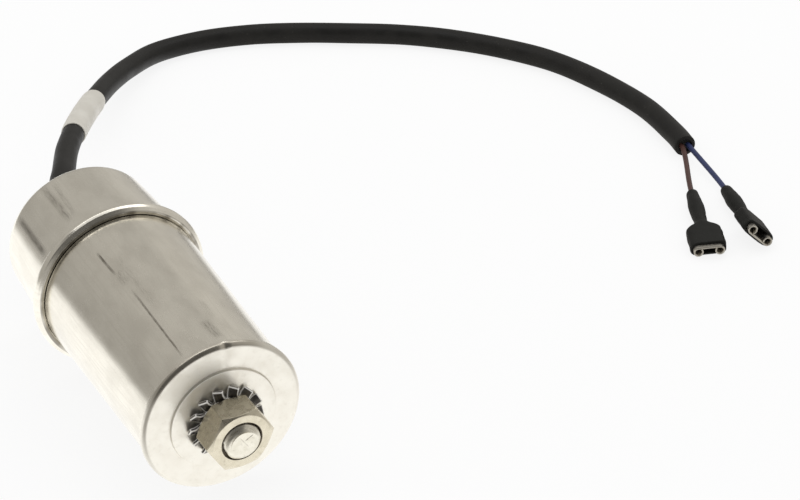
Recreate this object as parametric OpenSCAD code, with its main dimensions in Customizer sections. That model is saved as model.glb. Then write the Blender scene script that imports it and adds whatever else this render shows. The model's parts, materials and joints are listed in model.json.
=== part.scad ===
// Motor run capacitor: a sealed metal can with a mounting stud, an end cap rolled onto its mouth,
// and a two-core cable tail with push-on receptacles. It lies on its side, on its foot rim and its bead.

/* [Can] */
// Diameter of the can wall beside the foot rim
can_foot_d = 33.6; // [30:0.2:36]
// Diameter of the can wall at its mouth
can_mouth_d = 36; // [34:0.2:40]
// Length of the can from its foot face to its mouth
can_l = 52.8; // [40:0.2:80]
// How far the foot rim stands out from the wall
foot_proud = 0.45; // [0.2:0.05:1]
// Thickness of the foot rim
foot_t = 1.7; // [1:0.1:3]
// Radius of the foot rim's round front edge
foot_round = 1.1; // [0.4:0.1:1.5]
// Bevel along the back edge of the foot rim and along the seat
foot_bevel = 0.3; // [0.1:0.05:0.45]
// Diameter of the raised seat round the stud
seat_d = 23.5; // [19:0.5:28]
// Height of the raised seat
seat_h = 0.6; // [0.5:0.1:1.5]
// Diameter of the tool that left the nick in the foot rim
nick_d = 2.6; // [1:0.2:4]
// Depth of the nick, inwards from the rim
nick_depth = 0.5; // [0.2:0.1:1]
// Angle of the nick from the top of the can
nick_angle = 3; // [-90:1:90]

/* [Stud] */
// Outer diameter of the stud's thread
stud_d = 8; // [6:0.5:10]
// Length of stud left free past the nut
stud_free = 1.3; // [0.9:0.1:8]
// Chamfer on the end of the stud
stud_chamfer = 1; // [0.2:0.1:1]

/* [Nut and washer] */
// Width of the nut across its flats
nut_af = 13; // [11.5:0.5:15]
// Height of the nut
nut_h = 6.5; // [4:0.1:9]
// Angle of one corner of the nut from the top of the can
nut_turn = 28; // [0:1:60]
// Diameter of the flat round left on the nut's faces
nut_face_d = 12.4; // [11:0.1:13]
// Slope of the chamfer round the nut's faces
nut_chamfer_angle = 30; // [15:1:40]
// Depth of the countersink at each end of the nut's bore
nut_sink = 0.45; // [0.2:0.05:0.8]
// Diameter over the washer's teeth
washer_d = 16.5; // [15:0.1:18]
// Diameter of the washer's flat ring
washer_ring_d = 12; // [11.5:0.1:13]
// Height of the washer over its twisted teeth
washer_h = 1.9; // [1.4:0.1:2.4]
// Sheet thickness of the washer
washer_t = 0.8; // [0.5:0.1:1.2]
// Number of teeth on the washer
washer_teeth = 14; // [8:1:18]
// Width of one tooth
tooth_w = 2.3; // [1.5:0.1:2.6]
// Twist of each tooth out of the washer's plane
tooth_twist = 36; // [20:1:50]
// Clearance between the stud and what sits on it
stud_gap = 0.05; // [0.02:0.01:0.2]

/* [Seam and cap] */
// How far the rolled bead stands out from the can's mouth
bead_proud = 2; // [1.6:0.1:3]
// Radius of the bead's round edge
bead_r = 1.35; // [1.1:0.05:1.6]
// Radius of the hollow where the bead runs into the cap wall
bead_fillet_r = 1.2; // [0.6:0.1:3]
// Width of the can's turned-out mouth, held inside the bead
mouth_w = 1.2; // [0.8:0.1:1.5]
// Thickness of the can's turned-out mouth
mouth_t = 0.6; // [0.3:0.05:0.8]
// Open groove between the bead's front lip and the can wall
seam_groove = 0.35; // [0.1:0.05:0.6]
// Clearance inside the rolled seam
seam_gap = 0.05; // [0.02:0.01:0.1]
// Length of the cap from the can's mouth to its back face
cap_l = 23.4; // [16:0.2:40]
// How far the cap wall stands out from the can's mouth
cap_proud = 0.2; // [0:0.05:0.5]
// How much the cap's radius narrows towards its back
cap_draft = 1; // [0:0.1:2]
// Radius of the cap's back edge
cap_corner_r = 3; // [1:0.5:6]

/* [Cable outlet] */
// Diameter of the grommet inside the cap
grommet_d = 8.6; // [7.6:0.2:12]
// Depth of the grommet inside the cap
grommet_depth = 6; // [3:0.5:10]
// Diameter of the grommet's collar on the back of the cap
collar_d = 11; // [10:0.5:15]
// Height of the collar
collar_h = 4; // [2.5:0.5:8]
// Diameter of the collar's outer end
collar_nose_d = 7.6; // [7.4:0.2:9]
// Clearance round the grommet and round the cable
outlet_gap = 0.05; // [0.02:0.01:0.2]

/* [Cable] */
// Diameter of the cable's sheath
cable_d = 5.5; // [4:0.1:6]
// Wall of the marker sleeve
sleeve_t = 0.3; // [0.2:0.05:0.6]
// Clearance between the marker sleeve and the sheath
sleeve_gap = 0.05; // [0.02:0.01:0.1]
// Diameter of each insulated core
wire_d = 1.3; // [1.1:0.1:1.8]

/* [Receptacles] */
// Width of the receptacle over its curls
receptacle_w = 7.4; // [7:0.1:7.5]
// Height of the receptacle over its curls
receptacle_h = 2.3; // [2.1:0.1:2.4]
// Length of the rolled part that takes the tab
receptacle_l = 8; // [6:0.5:9]
// Thickness of the receptacle's sheet
sheet_t = 0.35; // [0.25:0.05:0.45]
// Height of the gap for the tab
tab_gap = 0.85; // [0.5:0.05:1]
// Diameter of the detent hole in the floor of the receptacle
detent_d = 1.6; // [1:0.1:2]
// Length of the crimped barrel
barrel_l = 7; // [4:0.5:9]
// Wall of the crimped barrel
barrel_t = 0.27; // [0.2:0.01:0.3]

/* [Boots] */
// Width of the boot over the receptacle
boot_w = 8.6; // [8.4:0.1:10]
// Thickness of the boot over the receptacle
boot_t = 3.7; // [3.4:0.1:5]
// Overall length of the boot
boot_l = 25; // [23:0.5:30]
// Length of the boot's wide mouth
boot_mouth_l = 7; // [5:0.5:9]
// Length of the shoulders between the neck and the mouth
boot_shoulder_l = 3; // [2:0.5:5]
// Diameter of the boot's neck at its two ends
boot_neck_d = 3.2; // [3:0.1:4.5]
// How far the neck swells over the crimped barrel
boot_swell = 0.35; // [0:0.05:0.6]
// Length of receptacle left showing past the boot
boot_show = 1.5; // [0.5:0.5:5]
// Clearance between the boot and the receptacle
boot_gap = 0.1; // [0.05:0.05:0.2]

/* [Hidden] */
$fn = 64;

// Heights along the can's axis, counted from the foot face towards the cap
seat_z = -seat_h;
nut_z = seat_z - washer_h;
nut_end_z = nut_z - nut_h;
stud_end_z = nut_end_z - stud_free;
mouth_z = can_l - mouth_t;
cap_end_z = can_l + cap_l;
outlet_z = cap_end_z - grommet_depth;
collar_end_z = cap_end_z + collar_h;

// Radii about the can's axis
foot_r = can_foot_d / 2 + foot_proud;
mouth_r = can_mouth_d / 2;
stud_r = stud_d / 2;
seat_r = seat_d / 2;
bead_centre_r = mouth_r + bead_proud - bead_r;
cap_r = mouth_r + cap_proud;
cap_end_r = cap_r - cap_draft;
// The rim's round front leaves room for the bevel at its back
rim_round = min(foot_round, foot_t - 1.5 * foot_bevel);
rim_centre_r = foot_r - rim_round;
cable_r = cable_d / 2;

// The hollow behind the bead touches the bead's round edge and the cap wall
bead_z = can_l - mouth_t / 2;
hollow_r = cap_r + bead_fillet_r;
hollow_z = bead_z + sqrt(pow(bead_r + bead_fillet_r, 2) - pow(hollow_r - bead_centre_r, 2));

// The can lies on the rounds of its foot rim and its bead, which tips it nose down
rim_to_bead = bead_z - rim_round;
rim_below_bead = bead_centre_r - rim_centre_r;
tilt = asin((bead_r - rim_round) / norm([rim_to_bead, rim_below_bead])) + atan(rim_below_bead / rim_to_bead);
axis_dir = [0, cos(tilt), sin(tilt)];
foot_height = rim_round + rim_centre_r * cos(tilt) - rim_round * sin(tilt);

// The object's box, without its cable, is centred over the origin
front_y = stud_end_z * cos(tilt) - (stud_r - stud_chamfer) * sin(tilt);
back_y = collar_end_z * cos(tilt) + collar_nose_d / 2 * sin(tilt);
foot_centre = [0, -(front_y + back_y) / 2, foot_height];

function on_axis(z) = foot_centre + z * axis_dir;
function unit(v) = v / norm(v);
function mix(a, b, t) = a + (b - a) * t;
function smooth(t) = t * t * (3 - 2 * t);

// Route of the cable after it leaves the cap: x, y and the height above where it lies on the floor
cable_lay = [[1.5, 53.5, 18.8], [4, 61, 18.5], [7.5, 68, 17.8], [13.5, 81, 15.5], [20.5, 93.5, 12.9],
             [28, 105.5, 10.2], [36, 117, 7.4], [44, 127.5, 4.7], [53, 137, 2.2], [64, 144.5, 0.5],
             [77.5, 146, 0], [91, 143, 0], [103.5, 137.5, 0], [115, 131, 0], [127, 123.5, 0],
             [137.5, 114.5, 0], [147, 103.5, 0], [155, 90.5, 0], [160, 74.5, 0], [162.5, 57.5, 0],
             [161.5, 42.5, 0], [160.3, 35.5, 0]];
cable_path = concat([on_axis(outlet_z), on_axis(cap_end_z), on_axis(collar_end_z)],
                    [for (p = cable_lay) p + [0, 0, cable_r]]);
// First and last points of the route under the marker sleeve
sleeve_from = 7;
sleeve_to = 9;

// Where each boot's wire end lies: x, y, heading, roll and pitch
brown_place = [148.9, 15.3, 155, 185, 0];
blue_place = [157.6, 13.4, 162.5, -43, 5];

cable_sides = 12;
wire_sides = 8;
cable_end = cable_path[len(cable_path) - 1];
cable_end_dir = unit(cable_end - cable_path[len(cable_path) - 2]);
cable_end_side = unit(cross(cable_end_dir, [0, 0, 1]));
wire_spread = 0.7 * wire_d;
wire_lead = 0.8;
wire_steps = 6;
// How far a core turns towards its boot as it leaves the sheath
wire_fan = 0.8;

// Places along a terminal, counted from the boot's wire end towards the mouth
receptacle_end_y = boot_l + boot_show;
receptacle_start_y = receptacle_end_y - receptacle_l;
// The wide mouth reaches behind the receptacle
mouth_room = 0.5;
mouth_l = max(boot_mouth_l, receptacle_l - boot_show + mouth_room);
shoulder_y = boot_l - mouth_l - boot_shoulder_l;
barrel_end_y = shoulder_y;
barrel_start_y = barrel_end_y - barrel_l;
tongue_overlap = 0.5;
wire_end_y = barrel_end_y - 2 * tongue_overlap;
crimp_gap = 0.03;
barrel_bore_r = wire_d / 2 + crimp_gap;
barrel_r = barrel_bore_r + barrel_t;
barrel_room = 0.25;
boot_bore_r = barrel_r + barrel_room;
tongue_w = 1.4;
// The floor of the receptacle runs on from the bottom of the barrel
floor_z = barrel_t / 3 - barrel_r;
curl_r = receptacle_h / 2;
boot_centre_z = floor_z + curl_r;
boot_lip = 0.2;
// The neck stays thicker than its bore, whatever the core's size
neck_r = max(boot_neck_d / 2, boot_bore_r + 2 * boot_lip);
// How square-shouldered the boot's mouth and its pocket are
mouth_power = 4;
pocket_power = 10;
// A rolled and pitched boot lies on the back of its mouth or on its swollen neck
lean_power = mouth_power / (mouth_power - 1);
function lean(half_w, half_t, roll) =
    pow(pow(half_w * abs(sin(roll)), lean_power) + pow(half_t * abs(cos(roll)), lean_power), 1 / lean_power);
function mouth_z_at(roll) = lean(boot_w / 2, boot_t / 2, roll) - boot_centre_z * cos(roll);
function lying_z(roll, pitch) =
    max(mouth_z_at(roll) - (boot_l - mouth_l) * sin(pitch),
        neck_r + boot_swell - shoulder_y / 2 * sin(pitch));

// Rings of a tube along a path, each square to the path
function path_dir(path, i) = unit(path[min(i + 1, len(path) - 1)] - path[max(i - 1, 0)]);
function path_ring(path, i, r, sides) =
    let (along = path_dir(path, i), side = unit(cross(along, [0, 0, 1])), up = cross(side, along))
    [for (k = [0 : sides - 1]) path[i] + r * (cos(360 * k / sides) * side + sin(360 * k / sides) * up)];

// Walls between neighbouring rings of points, with the last ring joined to the first when it wraps round
function ring_walls(rings, sides, wrap) =
    [for (i = [0 : rings - (wrap ? 1 : 2)], k = [0 : sides - 1])
        let (near = i * sides, far = ((i + 1) % rings) * sides, next = (k + 1) % sides)
        [near + k, near + next, far + next, far + k]];

// A bend that leaves one point along its heading and arrives at another along its own
function bend(a, a_dir, b, b_dir, steps) =
    let (reach = norm(b - a) / 3, p = a + reach * a_dir, q = b - reach * b_dir)
    [for (i = [0 : steps]) let (t = i / steps)
        pow(1 - t, 3) * a + 3 * pow(1 - t, 2) * t * p + 3 * (1 - t) * t * t * q + pow(t, 3) * b];

// A core comes out of the sheath, turns to its boot and ends in the crimped barrel
function heading(place) =
    [-sin(place[2]) * cos(place[4]), cos(place[2]) * cos(place[4]), sin(place[4])];
function entry(place) = [place[0], place[1], lying_z(place[3], place[4])];
function wire_path(place, side) =
    let (start = cable_end + side * wire_spread * cable_end_side, dir = heading(place),
         out_dir = unit(mix(cable_end_dir, unit(entry(place) - start), wire_fan)))
    concat([start], bend(start + wire_lead * cable_end_dir, out_dir, entry(place), dir, wire_steps),
           [entry(place) + wire_end_y * dir]);

// Radius along the boot's neck, which swells over the crimped barrel
function neck_swell(y) = neck_r + boot_swell * pow(sin(180 * y / shoulder_y), 2);

// One cross-section of a boot: a rounded outline that is square-shouldered when its power is high
function rounded(v, power) = sign(v) * pow(abs(v), 2 / power);
function boot_ring(y, half_w, half_t, z, power, sides) =
    [for (k = [0 : sides - 1]) let (a = -360 * k / sides)
        [half_w * rounded(cos(a), power), y, z + half_t * rounded(sin(a), power)]];

module solid_tube(rings) {
    count = len(rings);
    sides = len(rings[0]);
    front = [[for (k = [sides - 1 : -1 : 0]) k]];
    back = [[for (k = [0 : sides - 1]) (count - 1) * sides + k]];
    polyhedron(points = [for (r = rings) each r],
               faces = concat(front, ring_walls(count, sides, false), back));
}

// A tube with an inside: its rings run along the outside and come back along the inside
module hollow_tube(rings) {
    sides = len(rings[0]);
    polyhedron(points = [for (r = rings) each r], faces = ring_walls(len(rings), sides, true));
}

module lie_down() {
    translate(foot_centre) rotate([tilt - 90, 0, 0]) children();
}

module lay_terminal(place) {
    translate(entry(place)) rotate([0, 0, place[2]]) rotate([place[4], 0, 0]) rotate([0, place[3], 0])
        children();
}

// A cylinder along a terminal, from one place to another
module rod(r, from_y, to_y) {
    translate([0, from_y, 0]) rotate([-90, 0, 0]) cylinder(r = r, h = to_y - from_y);
}

module can_profile() {
    polygon([[0, stud_end_z], [stud_r - stud_chamfer, stud_end_z], [stud_r, stud_end_z + stud_chamfer],
             [stud_r, seat_z], [seat_r - foot_bevel, seat_z], [seat_r, seat_z + foot_bevel], [seat_r, 0],
             [rim_centre_r, 0], [rim_centre_r, rim_round], [foot_r, rim_round],
             [foot_r, foot_t - foot_bevel], [foot_r - foot_bevel, foot_t], [can_foot_d / 2, foot_t],
             [mouth_r, mouth_z], [mouth_r + mouth_w, mouth_z], [mouth_r + mouth_w, can_l], [0, can_l]]);
    translate([rim_centre_r, rim_round]) circle(rim_round);
}

module can() {
    color("gainsboro") lie_down() difference() {
        rotate_extrude() can_profile();
        // Nick knocked into the front edge of the foot rim
        rotate([0, 0, nick_angle]) translate([0, -foot_r - nick_d / 2 + nick_depth, -nick_depth])
            rotate([20, 0, 0]) cylinder(d = nick_d, h = foot_t);
    }
}

// The cup's wall, its rounded back edge and the hollow behind the bead
module cap_profile() {
    polygon([[0, can_l], [cap_r, can_l], [cap_r, hollow_z], [cap_end_r, cap_end_z - cap_corner_r],
             [cap_end_r - cap_corner_r, cap_end_z - cap_corner_r], [cap_end_r - cap_corner_r, cap_end_z],
             [0, cap_end_z]]);
    translate([cap_end_r - cap_corner_r, cap_end_z - cap_corner_r]) circle(cap_corner_r);
    difference() {
        polygon([[bead_centre_r, bead_z], [hollow_r, hollow_z], [mouth_r, hollow_z], [mouth_r, bead_z]]);
        translate([hollow_r, hollow_z]) circle(bead_fillet_r);
    }
    translate([bead_centre_r, bead_z]) circle(bead_r);
}

// Room inside the rolled bead for the can's wall and its turned-out mouth
module seam_room() {
    translate([0, can_l - mouth_t - 2 * bead_r]) square([mouth_r + seam_groove, 2 * bead_r + mouth_t]);
    translate([0, mouth_z - seam_gap]) square([mouth_r + mouth_w + seam_gap, mouth_t + seam_gap]);
}

module end_cap() {
    color("gainsboro") lie_down() difference() {
        rotate_extrude() difference() {
            cap_profile();
            seam_room();
        }
        translate([0, 0, outlet_z]) cylinder(d = grommet_d + 2 * outlet_gap, h = grommet_depth + 1);
    }
}

module cable_grommet() {
    bore_r = cable_r + outlet_gap;
    color("dimgray") lie_down() rotate_extrude() polygon([
        [bore_r, outlet_z], [grommet_d / 2, outlet_z], [grommet_d / 2, cap_end_z], [collar_d / 2, cap_end_z],
        [collar_d / 2, cap_end_z + collar_h / 4], [collar_nose_d / 2, collar_end_z], [bore_r, collar_end_z]]);
}

// The washer's teeth are twisted blades, worn flat where they bite the seat and the nut
module lock_washer() {
    ring_r = washer_ring_d / 2;
    tooth_root = ring_r - washer_t / 2;
    tooth_l = washer_d / 2 - tooth_root;
    color("slategray") lie_down() translate([0, 0, seat_z - washer_h]) difference() {
        intersection() {
            cylinder(d = washer_d, h = washer_h);
            translate([0, 0, washer_h / 2]) union() {
                cylinder(r = ring_r, h = washer_t, center = true);
                for (k = [0 : washer_teeth - 1])
                    rotate([0, 0, 360 * k / washer_teeth]) translate([tooth_root + tooth_l / 2, 0, 0])
                        rotate([tooth_twist, 0, 0]) cube([tooth_l, tooth_w, washer_t], center = true);
            }
        }
        translate([0, 0, -1]) cylinder(r = stud_r + stud_gap, h = washer_h + 2);
    }
}

// The chamfer's cone and the countersinks run on past the nut's own faces
module hex_nut() {
    past = 1;
    corner_r = nut_af / sqrt(3);
    face_r = nut_face_d / 2;
    cone_r = corner_r + past;
    slope_h = (cone_r - face_r) * tan(nut_chamfer_angle);
    bore_r = stud_r + stud_gap;
    sink_r = bore_r + nut_sink + past;
    color("darkkhaki") lie_down() translate([0, 0, nut_end_z]) difference() {
        intersection() {
            rotate([0, 0, nut_turn - 90]) cylinder(r = corner_r, h = nut_h, $fn = 6);
            rotate_extrude() polygon([[0, 0], [face_r, 0], [cone_r, slope_h], [cone_r, nut_h - slope_h],
                                      [face_r, nut_h], [0, nut_h]]);
        }
        rotate_extrude() polygon([[0, -past], [sink_r, -past], [bore_r, nut_sink], [bore_r, nut_h - nut_sink],
                                  [sink_r, nut_h + past], [0, nut_h + past]]);
    }
}

module cable() {
    color("black")
        solid_tube([for (i = [0 : len(cable_path) - 1]) path_ring(cable_path, i, cable_r, cable_sides)]);
}

module marker_sleeve() {
    inner_r = cable_r + sleeve_gap;
    outer_r = inner_r + sleeve_t;
    outer = [for (i = [sleeve_from : sleeve_to]) path_ring(cable_path, i, outer_r, cable_sides)];
    inner = [for (i = [sleeve_to : -1 : sleeve_from]) path_ring(cable_path, i, inner_r, cable_sides)];
    color("white") hollow_tube(concat(outer, inner));
}

module wire(place, side) {
    path = wire_path(place, side);
    solid_tube([for (i = [0 : len(path) - 1]) path_ring(path, i, wire_d / 2, wire_sides)]);
}

module brown_wire() {
    color("saddlebrown") wire(brown_place, 1);
}

module blue_wire() {
    color("navy") wire(blue_place, -1);
}

// Section across the rolled part: a floor and two curls that press the tab onto it
module receptacle_profile() {
    curl_x = receptacle_w / 2 - curl_r;
    translate([-curl_x, floor_z]) square([2 * curl_x, sheet_t]);
    for (side = [0, 1]) mirror([side, 0]) translate([curl_x, floor_z + curl_r]) difference() {
        circle(curl_r);
        circle(curl_r - sheet_t);
        translate([-curl_r - 1, sheet_t - curl_r]) square([curl_r + 1, tab_gap]);
    }
}

module receptacle() {
    difference() {
        translate([0, receptacle_end_y, 0]) rotate([90, 0, 0])
            linear_extrude(receptacle_l) receptacle_profile();
        translate([0, receptacle_end_y - receptacle_l / 2, floor_z - 1])
            cylinder(d = detent_d, h = sheet_t + 2);
    }
    // Tongue from the crimped barrel to the floor of the rolled part
    translate([-tongue_w / 2, barrel_end_y - tongue_overlap, floor_z])
        cube([tongue_w, receptacle_start_y - barrel_end_y + 2 * tongue_overlap, sheet_t]);
    difference() {
        rod(barrel_r, barrel_start_y, barrel_end_y);
        rod(barrel_bore_r, barrel_start_y - 1, barrel_end_y + 1);
    }
}

module brown_receptacle() {
    color("silver") lay_terminal(brown_place) receptacle();
}

module blue_receptacle() {
    color("silver") lay_terminal(blue_place) receptacle();
}

// A soft sleeve: round at the neck, widening over its shoulders to a flat mouth with a pocket inside
module boot() {
    sides = 32;
    pocket_y = receptacle_start_y - boot_gap;
    pocket_half_w = receptacle_w / 2 + boot_gap;
    pocket_half_h = receptacle_h / 2 + boot_gap;
    shoulder = [for (i = [0 : 6]) let (t = i / 6, s = smooth(t))
        boot_ring(shoulder_y + t * boot_shoulder_l, mix(neck_r, boot_w / 2, s), mix(neck_r, boot_t / 2, s),
                  mix(0, boot_centre_z, s), mix(2, mouth_power, s), sides)];
    neck = [for (i = [0 : 6]) let (y = mix(2 * boot_lip, shoulder_y, i / 7), r = neck_swell(y))
        boot_ring(y, r, r, 0, 2, sides)];
    outside = concat(
        [boot_ring(0, neck_r - boot_lip, neck_r - boot_lip, 0, 2, sides)],
        neck,
        shoulder,
        [boot_ring(boot_l - boot_lip, boot_w / 2, boot_t / 2, boot_centre_z, mouth_power, sides),
         boot_ring(boot_l, boot_w / 2 - boot_lip, boot_t / 2 - boot_lip, boot_centre_z, mouth_power, sides)]);
    inside = [boot_ring(boot_l, pocket_half_w, pocket_half_h, boot_centre_z, pocket_power, sides),
              boot_ring(pocket_y, pocket_half_w, pocket_half_h, boot_centre_z, pocket_power, sides),
              boot_ring(pocket_y, boot_bore_r, boot_bore_r, 0, 2, sides),
              boot_ring(0, boot_bore_r, boot_bore_r, 0, 2, sides)];
    hollow_tube(concat(outside, inside));
}

module brown_boot() {
    color("black") lay_terminal(brown_place) boot();
}

module blue_boot() {
    color("black") lay_terminal(blue_place) boot();
}

can();
end_cap();
cable_grommet();
lock_washer();
hex_nut();
cable();
marker_sleeve();
brown_wire();
blue_wire();
brown_receptacle();
blue_receptacle();
brown_boot();
blue_boot();
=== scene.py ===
import json
import math

import bmesh
import bpy
from mathutils import Matrix, Vector, noise


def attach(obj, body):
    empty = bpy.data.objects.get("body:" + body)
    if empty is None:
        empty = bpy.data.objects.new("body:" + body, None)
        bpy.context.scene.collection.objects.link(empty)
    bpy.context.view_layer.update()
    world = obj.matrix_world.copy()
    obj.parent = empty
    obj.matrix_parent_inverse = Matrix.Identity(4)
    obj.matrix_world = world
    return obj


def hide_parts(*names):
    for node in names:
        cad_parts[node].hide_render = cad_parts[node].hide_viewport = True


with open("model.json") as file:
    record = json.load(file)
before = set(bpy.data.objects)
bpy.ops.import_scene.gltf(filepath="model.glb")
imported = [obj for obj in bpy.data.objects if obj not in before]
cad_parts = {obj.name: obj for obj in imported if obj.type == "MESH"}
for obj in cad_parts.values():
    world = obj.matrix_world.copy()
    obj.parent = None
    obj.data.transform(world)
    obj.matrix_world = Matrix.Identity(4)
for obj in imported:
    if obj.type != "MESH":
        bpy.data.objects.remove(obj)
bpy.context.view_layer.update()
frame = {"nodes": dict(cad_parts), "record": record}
scene = bpy.context.scene
mm = 0.001
mounts = {m["name"]: m for m in frame["record"]["mounts"]}
print("frame loaded:", len(frame["nodes"]), "solids")

# camera: without roll, placed by fitting the can and the cable to the view
cameraView = dict(
    place=(-0.17409, -0.43157, 0.32167),  # metres
    yawDeg=28.45,  # from +Y towards +X
    pitchDeg=31.53,  # below the horizon
    focalPx=2600,  # for a picture 800 wide
    pictureWidth=800,
    sensor=36.0,
    nearClip=0.01,  # metres
)
cameraData = bpy.data.cameras.new("camera")
cameraData.sensor_fit = "HORIZONTAL"
cameraData.sensor_width = cameraView["sensor"]
cameraData.lens = cameraView["focalPx"] / cameraView["pictureWidth"] * cameraView["sensor"]
cameraData.clip_start = cameraView["nearClip"]
camera = bpy.data.objects.new("camera", cameraData)
camera.location = cameraView["place"]
camera.rotation_euler = (math.radians(90 - cameraView["pitchDeg"]), 0, -math.radians(cameraView["yawDeg"]))
scene.collection.objects.link(camera)
scene.camera = camera

# the can's own frame: z along its axis from the foot face, -y up; heights along it in mm
axial = dict(studEnd=-10.3, nutEnd=-9.0, nutSeat=-2.5, seat=-0.6, mouth=52.8, capEnd=76.2, collarEnd=80.2)
axisDir = -Vector(mounts["stud"]["axis"]).normalized()
footCentre = Vector(mounts["stud"]["pos_m"]) - axisDir * axial["studEnd"] * mm
sideDir = Vector((1, 0, 0))
downDir = axisDir.cross(sideDir)
canPlace = Matrix((sideDir, downDir, axisDir)).transposed().to_4x4()
canPlace.translation = footCentre


def onAxis(z):
    return footCentre + axisDir * z * mm


# mesh helpers, all sizes in mm until the mesh is made
weldGap = 1e-7  # metres


def makeMesh(name, points, faces, sharpDeg=None):
    mesh = bpy.data.meshes.new(name)
    mesh.from_pydata([tuple(c * mm for c in p) for p in points], [], faces)
    shape = bmesh.new()
    shape.from_mesh(mesh)
    bmesh.ops.remove_doubles(shape, verts=shape.verts, dist=weldGap)
    bmesh.ops.recalc_face_normals(shape, faces=shape.faces)
    shape.to_mesh(mesh)
    shape.free()
    mesh.shade_smooth()
    if sharpDeg:
        mesh.set_sharp_from_angle(angle=math.radians(sharpDeg))
    return mesh


# a piece takes the name of its mesh
def addPiece(mesh, replaced=(), place=None, materials=(), weighted=False):
    piece = bpy.data.objects.new(mesh.name, mesh)
    scene.collection.objects.link(piece)
    if place is not None:
        piece.matrix_world = place
    for material in materials:
        mesh.materials.append(material)
    if weighted:  # keeps big faces flat beside small rounds
        normals = piece.modifiers.new("flatFaces", "WEIGHTED_NORMAL")
        normals.keep_sharp = True
    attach(piece, "root")
    if replaced:
        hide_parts(*replaced)
    return piece


# a point at a radius and an angle from the top, seen along the axis
def polar(r, a, z):
    return r * math.sin(a), -r * math.cos(a), z


def anglesRound(sides):
    return [math.tau * k / sides for k in range(sides)]


# rings of points joined by quads; closed joins the last ring to the first
def skin(rings, closed=False, capStart=False, capEnd=False):
    sides = len(rings[0])
    points = [p for ring in rings for p in ring]
    faces = []
    for i in range(len(rings) if closed else len(rings) - 1):
        near, far = i * sides, (i + 1) % len(rings) * sides
        for k in range(sides):
            n = (k + 1) % sides
            faces.append((near + k, near + n, far + n, far + k))
    for wanted, start in ((capStart, 0), (capEnd, (len(rings) - 1) * sides)):
        if wanted:
            ring = points[start:start + sides]
            points.append(tuple(sum(c) / sides for c in zip(*ring)))
            centre = len(points) - 1
            faces += [(start + k, start + (k + 1) % sides, centre) for k in range(sides)]
    return points, faces


# turns a profile of (radius, height) about z; wobble gives each point a small shift of its own
def lathe(profile, sides, closed=False, wobble=None):
    rings = []
    for r, z in profile:
        ring = []
        for a in anglesRound(sides):
            dr, dz = wobble(a, r, z) if wobble else (0, 0)
            ring.append(polar(r + dr, a, z + dz))
        rings.append(ring)
    return skin(rings, closed)


# corners of (x, y, radius) become a line with round corners
def roundCorners(corners, steps):
    line = []
    for i, (x, y, radius) in enumerate(corners):
        here = Vector((x, y))
        if not radius or i in (0, len(corners) - 1):
            line.append((x, y))
            continue
        back = (here - Vector(corners[i - 1][:2])).normalized()
        ahead = (Vector(corners[i + 1][:2]) - here).normalized()
        turn = math.atan2(back.x * ahead.y - back.y * ahead.x, back.dot(ahead))
        start = here - back * radius * math.tan(abs(turn) / 2)
        side = Vector((-back.y, back.x)) * math.copysign(radius, turn)
        centre = start + side
        for s in range(steps + 1):
            arm = Matrix.Rotation(turn * s / steps, 2) @ (start - centre)
            line.append(tuple(centre + arm))
    return line


# smooth line through points (Catmull-Rom)
def smoothLine(points, steps):
    points = [Vector(p) for p in points]
    ends = [points[0] * 2 - points[1]] + points + [points[-1] * 2 - points[-2]]
    line = []
    for i in range(1, len(ends) - 2):
        a, b, c, d = ends[i - 1:i + 3]
        for s in range(steps):
            t = s / steps
            line.append(0.5 * (2 * b + (c - a) * t + (2 * a - 5 * b + 4 * c - d) * t * t
                               + (3 * b - a - 3 * c + d) * t ** 3))
    return line + [points[-1]]


# round sections along a line; radius may be a number or a function of the station
def tubeRings(line, radius, sides):
    rings = []
    for i, p in enumerate(line):
        along = (line[min(i + 1, len(line) - 1)] - line[max(i - 1, 0)]).normalized()
        side = along.cross(Vector((0, 0, 1))).normalized()
        up = side.cross(along)
        r = radius(i) if callable(radius) else radius
        rings.append([p + r * (math.cos(a) * side + math.sin(a) * up) for a in anglesRound(sides)])
    return rings


# node helpers
def addNode(tree, kind, args=(), **settings):
    made = tree.nodes.new("ShaderNode" + kind)
    for key, value in settings.items():
        setattr(made, key, value)
    for i, value in enumerate(args):
        feed(tree, made.inputs[i], value)
    return made


def feed(tree, socket, value):
    if value is None:
        return
    if isinstance(value, bpy.types.NodeSocket):
        tree.links.new(value, socket)
    else:
        socket.default_value = value


def calc(tree, operation, *args, clamp=False):
    return addNode(tree, "Math", args, operation=operation, use_clamp=clamp).outputs[0]


def vec(tree, operation, *args):
    made = addNode(tree, "VectorMath", args, operation=operation)
    return made.outputs["Value" if operation in ("DOT_PRODUCT", "LENGTH", "DISTANCE") else "Vector"]


def scaled(tree, where, factors):
    return vec(tree, "MULTIPLY", where, factors)


# the piece's own space, in mm
def ownSpace(tree):
    return scaled(tree, addNode(tree, "TexCoord").outputs["Object"], (1 / mm,) * 3)


def ramp(tree, value, low, high, toLow=0.0, toHigh=1.0, smooth=True):
    made = addNode(tree, "MapRange", (value, low, high, toLow, toHigh))
    made.interpolation_type = "SMOOTHSTEP" if smooth else "LINEAR"
    return made.outputs[0]


# a Mix node takes its colours at sockets 6 and 7 and gives one at 2
def blend(tree, factor, a, b):
    made = addNode(tree, "Mix", data_type="RGBA")
    for index, value in ((0, factor), (6, a), (7, b)):
        feed(tree, made.inputs[index], value)
    return made.outputs[2]


def grainOf(tree, where, scale, detail=3.0, rough=0.55):
    made = addNode(tree, "TexNoise")
    for name, value in (("Vector", where), ("Scale", scale), ("Detail", detail), ("Roughness", rough)):
        feed(tree, made.inputs[name], value)
    return made.outputs[0]


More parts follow.
